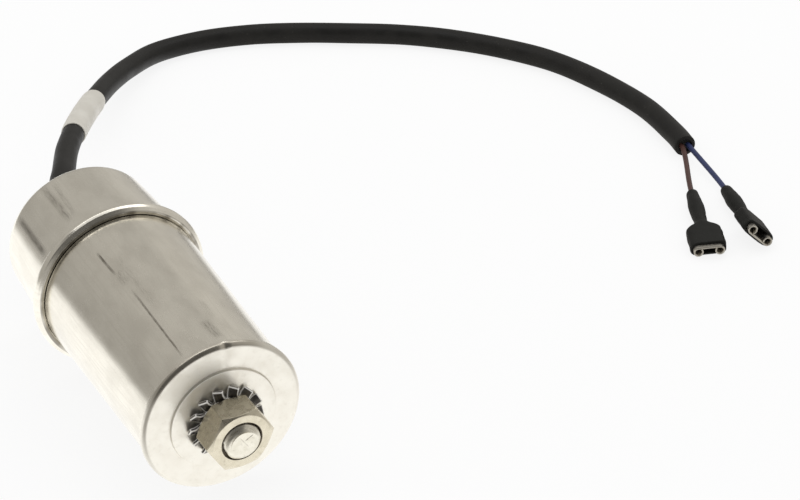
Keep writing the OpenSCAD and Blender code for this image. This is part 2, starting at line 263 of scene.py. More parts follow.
def newGroup(name, inputs, outputs):
    tree = bpy.data.node_groups.new(name, "ShaderNodeTree")
    kinds = {"v": "NodeSocketVector", "f": "NodeSocketFloat"}
    for label, kind, value in inputs:
        tree.interface.new_socket(label, in_out="INPUT", socket_type=kinds[kind]).default_value = value
    for label, kind in outputs:
        tree.interface.new_socket(label, in_out="OUTPUT", socket_type=kinds[kind])
    return tree, tree.nodes.new("NodeGroupInput").outputs, tree.nodes.new("NodeGroupOutput").inputs


def useGroup(tree, group, **values):
    made = tree.nodes.new("ShaderNodeGroup")
    made.node_tree = group
    for name, value in values.items():
        feed(tree, made.inputs[name], value)
    return made.outputs


def newMaterial(name, **constants):
    material = bpy.data.materials.new(name)
    material.use_nodes = True
    tree = material.node_tree
    shader = tree.nodes["Principled BSDF"]
    for key, value in constants.items():
        shader.inputs[key.replace("_", " ")].default_value = value
    return material, tree, shader.inputs


# bump from a height, its depth in mm
def addBump(tree, shader, height, strength, depth):
    bump = addNode(tree, "Bump")
    bump.inputs["Strength"].default_value = strength
    bump.inputs["Distance"].default_value = depth * mm
    tree.links.new(height, bump.inputs["Height"])
    tree.links.new(bump.outputs[0], shader["Normal"])


# unwraps a turned wall: mm along its axis, and a flat map of mm round from the top and along
def buildUnwrap():
    tree, given, out = newGroup("turnedWall", [("Wall radius", "f", 17.4)], [("Along", "f"), ("Flat", "v")])
    parts = addNode(tree, "SeparateXYZ", (ownSpace(tree),)).outputs
    angle = calc(tree, "ARCTAN2", parts[0], calc(tree, "MULTIPLY", parts[1], -1.0))
    around = calc(tree, "MULTIPLY", angle, given["Wall radius"])
    feed(tree, out["Along"], parts[2])
    feed(tree, out["Flat"], addNode(tree, "CombineXYZ", (around, parts[2], 0.0)).outputs[0])
    return tree


# one scrape from Start to End on a flat map, faint at its ends and broken up by grain
scrapeForm = dict(grain=(2.5, 0.35, 1), gaps=(0.62, 0.42), ends=0.18)


def buildScrape():
    tree, given, out = newGroup(
        "scrape",
        [("Flat", "v", (0, 0, 0)), ("Start", "v", (0, 0, 0)), ("End", "v", (0, 1, 0)),
         ("Width", "f", 0.2), ("Soft", "f", 0.2), ("Broken", "f", 0.5)],
        [("Mask", "f")])
    fromStart = vec(tree, "SUBTRACT", given["Flat"], given["Start"])
    run = vec(tree, "SUBTRACT", given["End"], given["Start"])
    passed = vec(tree, "DOT_PRODUCT", fromStart, run)
    share = calc(tree, "DIVIDE", passed, vec(tree, "DOT_PRODUCT", run, run), clamp=True)
    nearest = addNode(tree, "VectorMath", operation="SCALE")
    feed(tree, nearest.inputs[0], run)
    feed(tree, nearest.inputs["Scale"], share)
    away = vec(tree, "LENGTH", vec(tree, "SUBTRACT", fromStart, nearest.outputs[0]))
    edge = calc(tree, "ADD", given["Width"], given["Soft"])
    line = calc(tree, "SUBTRACT", 1.0, ramp(tree, away, given["Width"], edge))
    fromEnds = calc(tree, "MULTIPLY", share, calc(tree, "SUBTRACT", 1.0, share))
    ends = ramp(tree, fromEnds, 0.0, scrapeForm["ends"])
    grain = grainOf(tree, scaled(tree, given["Flat"], scrapeForm["grain"]), 1.0)
    missing = calc(tree, "MULTIPLY", given["Broken"], ramp(tree, grain, *scrapeForm["gaps"]))
    kept = calc(tree, "SUBTRACT", 1.0, missing)
    feed(tree, out["Mask"], calc(tree, "MULTIPLY", calc(tree, "MULTIPLY", line, ends), kept))
    return tree


# handled metal: streaks, wide blotches, and fine hairlines in three directions
handling = dict(
    blotch=(0.22, 0.1, 0.22),  # fineness per mm
    hairs=((0.5, 2.1), (-0.9, 1.7), (0.1, 2.6)),  # turn in radians, fineness across
    hairAlong=0.12,
    hairThin=0.007,
    patch=0.4,
    patchSpan=(0.45, 0.7),
    hairDeep=0.8,
)


def buildHandled():
    tree, given, out = newGroup(
        "handledMetal",
        [("Where", "v", (0, 0, 0)), ("Streak", "v", (3, 0.08, 1)), ("Amount", "f", 0.5)],
        [("Streaks", "f"), ("Blotch", "f"), ("Hairlines", "f"), ("Height", "f")])
    streaks = grainOf(tree, scaled(tree, given["Where"], given["Streak"]), 1.0, 4.0, 0.6)
    blotch = grainOf(tree, scaled(tree, given["Where"], handling["blotch"]), 1.0, 3.0, 0.5)
    lines = None
    for turn, across in handling["hairs"]:
        spun = addNode(tree, "VectorRotate", rotation_type="Z_AXIS")
        feed(tree, spun.inputs["Vector"], given["Where"])
        spun.inputs["Angle"].default_value = turn
        stretched = scaled(tree, spun.outputs[0], (across, handling["hairAlong"], across))
        grain = grainOf(tree, stretched, 1.0, 2.0, 0.5)
        fromMiddle = calc(tree, "ABSOLUTE", calc(tree, "SUBTRACT", grain, 0.5))
        line = ramp(tree, fromMiddle, 0.0, handling["hairThin"], 1.0, 0.0)
        lines = calc(tree, "MAXIMUM", lines, line) if lines else line
    patchy = ramp(tree, grainOf(tree, given["Where"], handling["patch"], 2.0), *handling["patchSpan"])
    hairlines = calc(tree, "MULTIPLY", calc(tree, "MULTIPLY", lines, patchy), given["Amount"])
    height = calc(tree, "SUBTRACT", streaks, calc(tree, "MULTIPLY", hairlines, handling["hairDeep"]))
    for socket, value in zip(out, (streaks, blotch, hairlines, height)):
        feed(tree, socket, value)
    return tree


# soft plastic: slow mottle, fine grain and dust
softness = dict(mottle=0.16, speck=0.9, speckSize=(0.05, 0.14), dustSpan=(0.45, 0.7))


def buildSoftPlastic():
    tree, given, out = newGroup("softPlastic", [("Grain", "f", 2.0), ("Dust", "f", 0.3)],
                                [("Mottle", "f"), ("Dusty", "f"), ("Height", "f")])
    where = ownSpace(tree)
    mottle = grainOf(tree, where, softness["mottle"], 3.0)
    fine = grainOf(tree, where, given["Grain"], 4.0, 0.6)
    specks = addNode(tree, "TexVoronoi", feature="F1")
    feed(tree, specks.inputs["Vector"], where)
    specks.inputs["Scale"].default_value = softness["speck"]
    dots = ramp(tree, specks.outputs["Distance"], *softness["speckSize"], 1.0, 0.0)
    dusty = calc(tree, "MULTIPLY", dots, ramp(tree, mottle, *softness["dustSpan"]))
    for socket, value in zip(out, (mottle, calc(tree, "MULTIPLY", dusty, given["Dust"]), fine)):
        feed(tree, socket, value)
    return tree


unwrapGroup = buildUnwrap()
scrapeGroup = buildScrape()
handledGroup = buildHandled()
plasticGroup = buildSoftPlastic()
print("shader groups built")

# drawn sheet aluminium: lengthwise streaks, hairlines, the scrapes listed for each wall, and painted shade
# by the groove at the cap's lip
drawnMetal = dict(
    # dark tone of the scrapes and of the painted groove shade
    dark=(0.16, 0.14, 0.11, 1),
    streak=(2.2, 0.05, 1),  # fineness round and along the wall
    streakShare=0.6, hairlines=0.6, grooveShadePatch=(0.3, 0.5, 1),
    roughness=0.19,  # of clean metal; streaks, hairlines and scrapes add to it
    streakRough=0.06, hairRough=0.15, scrapeRough=0.3, scrapeDeep=1.5,
    bump=(0.05, 0.04),  # strength, depth in mm
)
canLook = dict(
    tones=((0.94, 0.90, 0.80, 1), (0.82, 0.78, 0.69, 1)),  # clean, worn
    # painted shade: the can's wall darkens towards the groove under the cap's lip
    grimeAndShade=(49.6, 51.6),  # mm along the axis: none, full, of the painted groove shade
    grooveShadeShare=(0.1, 0.45),
    scrapes=[  # (around, along) start and end in mm, width, softness, strength, broken
        ((-8.5, 44.5), (-8.15, 34.4), 0.14, 0.25, 0.9, 0.35),
        ((-7.5, 36), (-7.4, 30.5), 0.05, 1.4, 0.35, 0.7),
        ((-7.4, 29), (-7.55, 2.4), 0.09, 0.24, 0.95, 0.3),
        ((-5.9, 41), (-5.4, 18), 0.05, 1.3, 0.22, 0.8),
        ((0.8, 11), (1.4, 3.8), 0.1, 1.6, 0.65, 0.6),
        ((3.2, 18), (3.6, 11), 0.05, 1.3, 0.2, 0.6),
    ],
)
capLook = dict(
    tones=((0.99, 0.95, 0.85, 1), (0.89, 0.85, 0.755, 1)),
    # painted shade: the cap's lip darkens towards the groove where it meets the can
    grimeAndShade=(51.32, 51.17),
    grooveShadeShare=(0.3, 0.8),
    scrapes=[
        ((-17.8, 74.5), (-17.4, 55), 0.1, 1.2, 0.8, 0.2),
        ((-9.0, 75), (-8.6, 56.5), 0.06, 1.2, 0.55, 0.5),
        ((-6.6, 74), (-7.3, 57), 0.05, 0.9, 0.3, 0.6),
    ],
)


def drawnAluminium(name, look):
    clean, worn = look["tones"]
    material, tree, shader = newMaterial(name, Metallic=1.0)
    wall = useGroup(tree, unwrapGroup)
    handled = useGroup(tree, handledGroup, Where=wall["Flat"], Streak=drawnMetal["streak"],
                       Amount=drawnMetal["hairlines"])
    tone = blend(tree, ramp(tree, handled["Blotch"], 0.35, 0.7), clean, worn)
    tone = blend(tree, ramp(tree, handled["Streaks"], 0.45, 0.7, 0.0, drawnMetal["streakShare"]), tone, worn)
    marks = None
    for start, end, width, soft, strength, broken in look["scrapes"]:
        mask = useGroup(tree, scrapeGroup, Flat=wall["Flat"], Start=(*start, 0), End=(*end, 0), Width=width,
                        Soft=soft, Broken=broken)["Mask"]
        mask = calc(tree, "MULTIPLY", mask, strength)
        marks = calc(tree, "MAXIMUM", marks, mask) if marks else mask
    # painted shade by the groove at the cap's lip: a band along the axis, broken into patches
    grain = grainOf(tree, scaled(tree, wall["Flat"], drawnMetal["grooveShadePatch"]), 1.0, 1.0)
    patches = ramp(tree, grain, 0.35, 0.65, *look["grooveShadeShare"])
    grimeAndShade = calc(tree, "MULTIPLY", ramp(tree, wall["Along"], *look["grimeAndShade"]), patches)
    tone = blend(tree, calc(tree, "MAXIMUM", marks, grimeAndShade), tone, drawnMetal["dark"])
    feed(tree, shader["Base Color"], tone)
    smoothest = drawnMetal["roughness"]
    rough = ramp(tree, handled["Streaks"], 0.3, 0.75, smoothest, smoothest + drawnMetal["streakRough"])
    rough = calc(tree, "ADD", rough, calc(tree, "MULTIPLY", handled["Hairlines"], drawnMetal["hairRough"]))
    rough = calc(tree, "ADD", rough, calc(tree, "MULTIPLY", marks, drawnMetal["scrapeRough"]))
    feed(tree, shader["Roughness"], rough)
    cutIn = calc(tree, "MULTIPLY", marks, drawnMetal["scrapeDeep"])
    addBump(tree, shader, calc(tree, "SUBTRACT", handled["Height"], cutIn), *drawnMetal["bump"])
    return material


# plain turned or plated metal, textured in the piece's own space
workedForm = dict(
    hairlines=0.7,
    dirtGrain=0.9,
    dirtSpan=(0.52, 0.75),
    scratch=(0.06, 0.12, 0.4),  # width, softness, broken
    wornRough=0.15,
    bumpDeep=0.04,  # mm
)


def workedMetal(name, tone, worn, dark, rough, grimeAndShade, streak=0.6, bump=0.15, scratches=(), paintedShadeSide=None,
                metallic=1.0):
    material, tree, shader = newMaterial(name, Metallic=metallic)
    where = ownSpace(tree)
    handled = useGroup(tree, handledGroup, Where=where, Streak=(streak,) * 3, Amount=workedForm["hairlines"])
    shade = blend(tree, ramp(tree, handled["Streaks"], 0.35, 0.75), tone, worn)
    grain = grainOf(tree, where, workedForm["dirtGrain"], 4.0)
    dirtAndShade = ramp(tree, grain, *workedForm["dirtSpan"], 0.0, grimeAndShade)
    dirtAndShade = calc(tree, "MAXIMUM", dirtAndShade, calc(tree, "MULTIPLY", handled["Hairlines"], grimeAndShade))
    width, soft, broken = workedForm["scratch"]
    for start, end, strength in scratches:  # across the end face
        mark = useGroup(tree, scrapeGroup, Flat=scaled(tree, where, (1, -1, 0)), Start=(*start, 0),
                        End=(*end, 0), Width=width, Soft=soft, Broken=broken)["Mask"]
        dirtAndShade = calc(tree, "MAXIMUM", dirtAndShade, calc(tree, "MULTIPLY", mark, strength))
    if paintedShadeSide:  # painted shade on one side of the axis
        towards, low, high, most = paintedShadeSide
        side = vec(tree, "DOT_PRODUCT", vec(tree, "NORMALIZE", scaled(tree, where, (1, 1, 0))), towards)
        dirtAndShade = calc(tree, "MAXIMUM", dirtAndShade, ramp(tree, side, low, high, 0.0, most))
    feed(tree, shader["Base Color"], blend(tree, dirtAndShade, shade, dark))
    roughest = rough + workedForm["wornRough"]
    feed(tree, shader["Roughness"], ramp(tree, handled["Streaks"], 0.3, 0.75, rough, roughest))
    addBump(tree, shader, handled["Height"], bump, workedForm["bumpDeep"])
    return material


# cable and boot plastics
plasticForm = dict(dustTone=(0.42, 0.40, 0.37, 1), wornRough=0.12, bumpDeep=0.06)


def softPlastic(name, tone, worn, rough, grain=2.0, dust=0.3, bump=0.1, specular=0.5):
    material, tree, shader = newMaterial(name, Specular_IOR_Level=specular)
    soft = useGroup(tree, plasticGroup, Grain=grain, Dust=dust)
    shade = blend(tree, ramp(tree, soft["Mottle"], 0.35, 0.7), tone, worn)
    feed(tree, shader["Base Color"], blend(tree, soft["Dusty"], shade, plasticForm["dustTone"]))
    roughest = rough + plasticForm["wornRough"]
    feed(tree, shader["Roughness"], ramp(tree, soft["Mottle"], 0.3, 0.7, rough, roughest))
    addBump(tree, shader, soft["Height"], bump, plasticForm["bumpDeep"])
    return material


canMetal = drawnAluminium("canAluminium", canLook)
capMetal = drawnAluminium("capAluminium", capLook)
backMetal = workedMetal(
    "capBackAluminium", *capLook["tones"], drawnMetal["dark"], drawnMetal["roughness"],
    grimeAndShade=0.15, streak=0.3, bump=0.05)
footMetal = workedMetal(
    "footAluminium", (0.95, 0.915, 0.825, 1), (0.92, 0.88, 0.785, 1), (0.5, 0.45, 0.36, 1),
    rough=0.32, grimeAndShade=0.12, streak=0.25, bump=0.05, metallic=0.92)
# the rim's finish; its top side is painted darker, as shade
rimMetal = workedMetal(
    "rimAluminium", (0.90, 0.865, 0.775, 1), (0.87, 0.83, 0.74, 1), (0.3, 0.26, 0.2, 1),
    rough=0.26, grimeAndShade=0.12, streak=0.25, bump=0.05,
    paintedShadeSide=((-0.26, -0.966, 0), 0.62, 0.82, 0.55))
studMetal = workedMetal(
    "studMetal", (0.90, 0.86, 0.745, 1), (0.82, 0.78, 0.66, 1), (0.14, 0.12, 0.09, 1),
    rough=0.26, grimeAndShade=0.25,
    scratches=[((0.0, 0.95), (1.95, 2.1), 0.9), ((-1.2, 2.3), (1.0, -0.9), 0.3)])
nutPlate = workedMetal(
    "nutPlating", (0.77, 0.71, 0.565, 1), (0.70, 0.64, 0.50, 1), (0.22, 0.17, 0.1, 1),
    rough=0.22, grimeAndShade=0.25, bump=0.08)
# painted shade: near-black tones for the nut's bore and countersink, which lie in shade
nutBoreShade = workedMetal(
    "nutBoreShade", (0.13, 0.11, 0.09, 1), (0.2, 0.17, 0.13, 1), (0.03, 0.03, 0.02, 1),
    rough=0.35, grimeAndShade=0.5)
washerSteel = workedMetal(
    "washerSteel", (0.20, 0.19, 0.18, 1), (0.32, 0.30, 0.28, 1), (0.05, 0.05, 0.05, 1),
    rough=0.3, grimeAndShade=0.5)
# worn bright edges, made near white and partly non-metal as a painted highlight
washerEdgeWearAndHighlight = workedMetal(
    "washerEdgeWearAndHighlight", (0.97, 0.95, 0.9, 1), (0.92, 0.9, 0.84, 1), (0.6, 0.58, 0.54, 1),
    rough=0.4, grimeAndShade=0.1, metallic=0.4)
tinPlate = workedMetal(
    "tinPlate", (0.80, 0.77, 0.70, 1), (0.66, 0.62, 0.54, 1), (0.2, 0.18, 0.14, 1),
    rough=0.28, grimeAndShade=0.4)
sheathBlack = softPlastic(
    "sheathBlack", (0.012, 0.0112, 0.01, 1), (0.018, 0.0168, 0.0145, 1), rough=0.45,
    grain=1.5, dust=0.15, specular=0.3)
bootBlack = softPlastic(
    "bootBlack", (0.009, 0.009, 0.0075, 1), (0.014, 0.014, 0.012, 1), rough=0.5,
    grain=2.5, dust=0.15, bump=0.2, specular=0.28)
fillerBlack = softPlastic(
    "fillerBlack", (0.012, 0.011, 0.010, 1), (0.02, 0.018, 0.016, 1), rough=0.7,
    grain=3.0, bump=0.4)
grommetRubber = softPlastic(
    "grommetRubber", (0.026, 0.025, 0.024, 1), (0.04, 0.038, 0.036, 1), rough=0.6,
    dust=0.4, bump=0.2)
markerWhite = softPlastic(
    "markerWhite", (0.73, 0.70, 0.63, 1), (0.65, 0.62, 0.55, 1), rough=0.42,
    grain=1.2, dust=0.0)
wireBrown = softPlastic(
    "wireBrown", (0.07, 0.03, 0.024, 1), (0.09, 0.042, 0.034, 1), rough=0.35,
    grain=2.5, dust=0.1)
wireBlue = softPlastic(
    "wireBlue", (0.024, 0.035, 0.105, 1), (0.034, 0.046, 0.13, 1), rough=0.35,
    grain=2.5, dust=0.1)
print("materials built:", len(bpy.data.materials))

# cable: the route is the one the solids follow, as x, y and the height of its underside
cable = dict(
    diameter=5.5, sides=40, stepsPerPoint=10,
    length=0.295,  # metres, from the cap's back to the cut end
    lay=[(1.5, 53.5, 18.8), (4, 61, 18.5), (7.5, 68, 17.8), (13.5, 81, 15.5), (20.5, 93.5, 12.9),
         (28, 105.5, 10.2), (36, 117, 7.4), (44, 127.5, 4.7), (53, 137, 2.2), (64, 144.5, 0.5),
         (77.5, 146, 0), (91, 143, 0), (103.5, 137.5, 0), (115, 131, 0), (127, 123.5, 0), (137.5, 114.5, 0),
         (147, 103.5, 0), (155, 90.5, 0), (160, 74.5, 0), (162.5, 57.5, 0), (161.5, 42.5, 0),
         (160.3, 35.5, 0)],
    ripple=0.05, rippleScale=0.08,  # unevenness of the sheath
    cutRound=0.25, cutDeg=(30, 60, 90),  # rounding of the cut end
    jacketWall=0.9,
    fillerBack=0.7, fillerShrink=0.02,  # filler set back from the cut end
    fillerMiddle=0.3, fillerReach=0.99,  # faces round a point this far back are filler
)
cableRadius = cable["diameter"] / 2
cablePoints = [onAxis(axial["capEnd"]) / mm, onAxis(axial["collarEnd"]) / mm]
cablePoints += [Vector((x, y, h + cableRadius)) for x, y, h in cable["lay"]]
cableLine = smoothLine(cablePoints, cable["stepsPerPoint"])


def sheathRadius(i):
    return cableRadius + cable["ripple"] * noise.noise(cableLine[i] * cable["rippleScale"])


rings = tubeRings(cableLine, sheathRadius, cable["sides"])
cutDir = (cableLine[-1] - cableLine[-2]).normalized()
rim = [p - cableLine[-1] for p in rings[-1]]
cut = [(1 - cable["cutRound"] / cableRadius * (1 - math.cos(a)), cable["cutRound"] * math.sin(a))
       for a in (math.radians(d) for d in cable["cutDeg"])]
innerShare = 1 - cable["jacketWall"] / cableRadius
cut.append((innerShare, cable["cutRound"]))
cut.append((innerShare - cable["fillerShrink"], cable["cutRound"] - cable["fillerBack"]))
for share, ahead in cut:
    rings.append([cableLine[-1] + p * share + cutDir * ahead for p in rim])
points, faces = skin(rings, capStart=True, capEnd=True)
sheath = addPiece(makeMesh("cableSheath", points, faces, sharpDeg=40),
                  ["cable"], materials=[sheathBlack, fillerBlack])
fillerMiddle = cableLine[-1] - cutDir * cable["fillerMiddle"]
for face in sheath.data.polygons:
    if (face.center / mm - fillerMiddle).length < innerShare * cableRadius * cable["fillerReach"]:
        face.material_index = 1
print("cable swept:", len(rings), "rings")

# marker sleeve: shrunk on over the sheath between two points of the route
marker = dict(firstPoint=5.8, lastPoint=7.7, gap=0.02, wall=0.33, sides=40, edge=0.15, edgeSteps=1.5,
              crease=0.05, creaseScale=0.35)
firstStation = round(marker["firstPoint"] * cable["stepsPerPoint"])
lastStation = round(marker["lastPoint"] * cable["stepsPerPoint"])
markerLine = cableLine[firstStation:lastStation + 1]
inside = cableRadius + marker["gap"]
outside = inside + marker["wall"]


def sleeveRadius(i):
    fromEnd = min(i, len(markerLine) - 1 - i)
    crease = marker["crease"] * noise.noise(markerLine[i] * marker["creaseScale"])
    return outside + crease - marker["edge"] * max(0, 1 - fromEnd / marker["edgeSteps"]) ** 2


outer = tubeRings(markerLine, sleeveRadius, marker["sides"])
inner = tubeRings(markerLine, inside, marker["sides"])
points, faces = skin(outer + inner[::-1], closed=True)
sleeve = addPiece(makeMesh("markerSleeve", points, faces, sharpDeg=40),
                  ["marker_sleeve"], materials=[markerWhite])
print("marker sleeve made")

# terminals: where each boot's wire end lies, with its heading, roll and pitch
terminals = dict(
    brown=dict(x=148.9, y=15.3, height=2.295, headingDeg=155, rollDeg=185, pitchDeg=0, side=1,
               wire=wireBrown),
    blue=dict(x=157.6, y=13.4, height=1.905, headingDeg=162.5, rollDeg=-43, pitchDeg=5, side=-1,
              wire=wireBlue),
)
boot = dict(
    sides=48,
    centre=0.29,  # height of the mouth's middle over the wire
    # along, half width, half thickness, share of the way to the mouth's shape
    sections=[(0, 1.25, 1.25, 0), (0.25, 1.42, 1.42, 0), (1.2, 1.52, 1.52, 0), (3, 1.66, 1.66, 0),
              (5, 1.84, 1.82, 0), (7, 1.95, 1.92, 0), (9, 1.88, 1.86, 0), (11.2, 1.7, 1.7, 0),
              (13, 1.58, 1.58, 0), (14.4, 1.62, 1.6, 0.02), (15.2, 1.9, 1.66, 0.1), (15.8, 2.5, 1.7, 0.3),
              (16.5, 3.35, 1.76, 0.6), (17.2, 3.95, 1.82, 0.85), (18, 4.2, 1.85, 1), (20, 4.26, 1.85, 1),
              (22.5, 4.28, 1.84, 1), (24.6, 4.24, 1.83, 1), (25, 4.05, 1.66, 1)],
    smoothing=3,
    squareness=2.2,  # how square the mouth is, 0 for round
    pocket=(3.8, 1.25, 18.4),  # half width, half height, where its floor is
    end=25, bore=0.95, ripple=0.05, rippleScale=0.6,
)


def bootRing(y, halfW, halfT, share):
    power = 2 / (2 + boot["squareness"] * share)
    ring = []
    for a in anglesRound(boot["sides"]):
        x, z = math.cos(a), math.sin(a)
        ring.append((halfW * math.copysign(abs(x) ** power, x), y,
                     boot["centre"] * share + halfT * math.copysign(abs(z) ** power, z)))
    return ring


def buildBoot(name, place):
    along = smoothLine([(y, w, t) for y, w, t, s in boot["sections"]], boot["smoothing"])
    shares = smoothLine([(s, 0, 0) for y, w, t, s in boot["sections"]], boot["smoothing"])
    rings = [bootRing(y, w, t, min(1, max(0, s.x))) for (y, w, t), s in zip(along, shares)]
    halfW, halfT, floor = boot["pocket"]
    bore = boot["bore"]
    hollow = [(boot["end"], halfW, halfT, 1), (floor, halfW, halfT, 1)]
    hollow += [(floor, bore, bore, 0), (0, bore, bore, 0)]
    rings += [bootRing(*section) for section in hollow]
    points, faces = skin(rings, closed=True)
    rippled = []
    for x, y, z in points:
        grow = 1 + boot["ripple"] * noise.noise(Vector((x, y, z)) * boot["rippleScale"])
        rippled.append((x * grow, y, z * grow))
    mesh = makeMesh(name, rippled, faces, sharpDeg=50)
    return addPiece(mesh, [name.replace("Boot", "_boot")], place, [bootBlack])


# rolled receptacle: a floor with two curls, as a bent strip of sheet
receptacle = dict(
    width=7.4, height=2.3, sheet=0.48, start=18.5, end=26.5, floor=-0.86, curlDeg=(-90, 225), curlSteps=42,
    backEdge=[(0, 0.7), (0.1, 1)],  # mm from the start, share of the sheet
    mouthEdge=[(0.35, 1), (0.1, 0.85), (0, 0.45)],  # mm from the end, share of the sheet
    flare=0.06, flareFrom=0.2,
)


def buildReceptacle(name, place):
    curl = receptacle["height"] / 2
    half = receptacle["sheet"] / 2
    mid = curl - half
    curlX = receptacle["width"] / 2 - curl
    lift = receptacle["floor"] + curl
    first, last = receptacle["curlDeg"]
    steps = receptacle["curlSteps"]
    turns = [math.radians(first + (last - first) * i / steps) for i in range(steps + 1)]
    right = [(curlX + mid * math.cos(a), lift + mid * math.sin(a)) for a in turns]
    strip = [(-x, z) for x, z in reversed(right)] + right
    stations = [(receptacle["start"] + y, share) for y, share in receptacle["backEdge"]]
    stations += [(receptacle["end"] - y, share) for y, share in receptacle["mouthEdge"]]
    rings = []
    for y, share in stations:
        flare = receptacle["flare"] if y > receptacle["end"] - receptacle["flareFrom"] else 0
        outline = {1: [], -1: []}
        for i, (x, z) in enumerate(strip):
            before, after = strip[max(i - 1, 0)], strip[min(i + 1, len(strip) - 1)]
            tangent = Vector((after[0] - before[0], after[1] - before[1])).normalized()
            for side in (1, -1):
                out = half * share * side - flare
                outline[side].append((x - tangent.y * out, y, z + tangent.x * out))
        rings.append(outline[1] + outline[-1][::-1])
    points, faces = skin(rings)
    count = len(strip)
    for start in (0, (len(rings) - 1) * 2 * count):  # the sheet's two cut edges
        for i in range(count - 1):
            faces.append((start + i, start + i + 1, start + 2 * count - 2 - i, start + 2 * count - 1 - i))
    mesh = makeMesh(name, points, faces, sharpDeg=35)
    return addPiece(mesh, [name.replace("Receptacle", "_receptacle")], place, [tinPlate])


# insulated core: out of the sheath, fanned towards its boot and into it
wire = dict(diameter=1.3, inside=1.0, lead=0.8, fan=0.8, steps=24, sides=20, into=6.0, spread=0.91)


def buildWire(name, place, side, material):
    sideways = cutDir.cross(Vector((0, 0, 1))).normalized()
    start = cableLine[-1] + side * wire["spread"] * sideways
    heading = (place.to_3x3() @ Vector((0, 1, 0))).normalized()
    entry = place.translation / mm
    a = start + cutDir * wire["lead"]
    reach = (entry - a).length / 3
    out = cutDir.lerp((entry - a).normalized(), wire["fan"]).normalized()
    p, q = a + out * reach, entry - heading * reach
    line = [start - cutDir * wire["inside"], start]
    for i in range(wire["steps"] + 1):
        t = i / wire["steps"]
        line.append((1 - t) ** 3 * a + 3 * (1 - t) ** 2 * t * p + 3 * (1 - t) * t * t * q + t ** 3 * entry)
    line.append(entry + heading * wire["into"])
    points, faces = skin(tubeRings(line, wire["diameter"] / 2, wire["sides"]), capStart=True, capEnd=True)
    mesh = makeMesh(name, points, faces, sharpDeg=40)
    return addPiece(mesh, [name.replace("Wire", "_wire")], materials=[material])


for colour, t in terminals.items():
    place = Matrix.Translation(Vector((t["x"], t["y"], t["height"])) * mm)
    place = place @ Matrix.Rotation(math.radians(t["headingDeg"]), 4, "Z")
    place = place @ Matrix.Rotation(math.radians(t["pitchDeg"]), 4, "X")
    place = place @ Matrix.Rotation(math.radians(t["rollDeg"]), 4, "Y")
    buildBoot(colour + "Boot", place)
    buildReceptacle(colour + "Receptacle", place)
    buildWire(colour + "Wire", place, t["side"], t["wire"])
print("terminals and wires made")

# can: seat, foot rim with a round edge, and a wall that widens a little to its mouth
can = dict(
    sides=256, cornerSteps=8, wallSteps=24,
    coreR=3.9,  # inside the stud
    seatR=11.75, seatEdge=0.22, seatFillet=0.18, footR=17.7, footT=1.7, footRound=1.1,
    footBack=0.06,  # rounding of the rim's back corner
    wallR=16.8, wallFillet=0.15, mouthR=18.0, mouthW=1.2, mouthT=0.6, mouthFillet=0.1,
    wallFrom=3,  # the plain wall starts below this height
    nickDeg=3, nickWide=1.1, nickDeep=0.38,  # nick in the front of the rim
    nickInward=1.6, nickAlong=1.4, nickFrom=-0.3,  # how far it fades inwards and along
    rimShare=0.7, rimFrom=0.1,  # the part of the rounding that has the rim's finish, painted darker on top as shade
    faceTo=0.4,  # the foot's finish ends here
)
flangeR = can["mouthR"] + can["mouthW"]
flangeZ = axial["mouth"] - can["mouthT"]
corners = [(can["coreR"], axial["seat"], 0), (can["seatR"], axial["seat"], can["seatEdge"]),
           (can["seatR"], 0, can["seatFillet"]), (can["footR"], 0, can["footRound"]),
           (can["footR"], can["footT"], can["footBack"]), (can["wallR"], can["footT"], can["wallFillet"]),
           (can["mouthR"], flangeZ, can["mouthFillet"]), (flangeR, flangeZ, 0),
           (flangeR, axial["mouth"], 0), (can["coreR"], axial["mouth"], 0)]


def nickShift(a, r, z):
    if z <= can["nickFrom"]:
        return 0, 0
    arc = (a - math.radians(can["nickDeg"])) * can["footR"]
    arc -= round(arc / (math.tau * can["footR"])) * math.tau * can["footR"]
    near = max(0, 1 - abs(arc) / can["nickWide"])
    inward = max(0, 1 - abs(r - can["footR"]) / can["nickInward"])
    along = max(0, 1 - max(0, z) / can["nickAlong"])
    shift = can["nickDeep"] * near * inward * along
    return -shift, shift


profile = roundCorners(corners, can["cornerSteps"])
wallStart = max(i for i, p in enumerate(profile) if p[1] < can["wallFrom"])
wall = []
for i in range(1, can["wallSteps"]):
    share = i / can["wallSteps"]
    wall.append((can["wallR"] + (can["mouthR"] - can["wallR"]) * share,
                 can["footT"] + (flangeZ - can["footT"]) * share))
profile = profile[:wallStart + 1] + wall + profile[wallStart + 1:]
points, faces = lathe(profile, can["sides"], closed=True, wobble=nickShift)
canShell = addPiece(makeMesh("canShell", points, faces, sharpDeg=60), ["can"],
                    canPlace, [canMetal, footMetal, rimMetal], weighted=True)
rimInner = (can["footR"] - can["footRound"] * can["rimShare"]) * mm
# rim faces take the rim's finish with its painted shade on top
for face in canShell.data.polygons:
    onRim = Vector(face.center[:2]).length > rimInner
    if onRim and can["rimFrom"] * mm < face.center.z < can["footRound"] * mm:
        face.material_index = 2
    elif face.center.z < can["faceTo"] * mm:
        face.material_index = 1
print("can turned")

# stud: a rolled thread with a rounded, scratched end
stud = dict(
    radius=4.0, pitch=1.25, depth=0.6, sides=96, steps=64,
    rootWide=1.25, flankSteep=3.2,  # a width over 1 gives the groove a flat root
    endR=3.0, endRound=0.35, roundDeg=(90, 60, 30),
    into=0.2,  # the thread ends inside the seat
)


def threadRadius(a, z):
    phase = (z / stud["pitch"] + a / math.tau) % 1
    groove = min(1, max(0, stud["rootWide"] - abs(phase - 0.5) * stud["flankSteep"]))
    taper = stud["endR"] + z - axial["studEnd"]
    return min(stud["radius"] - stud["depth"] * groove, taper)


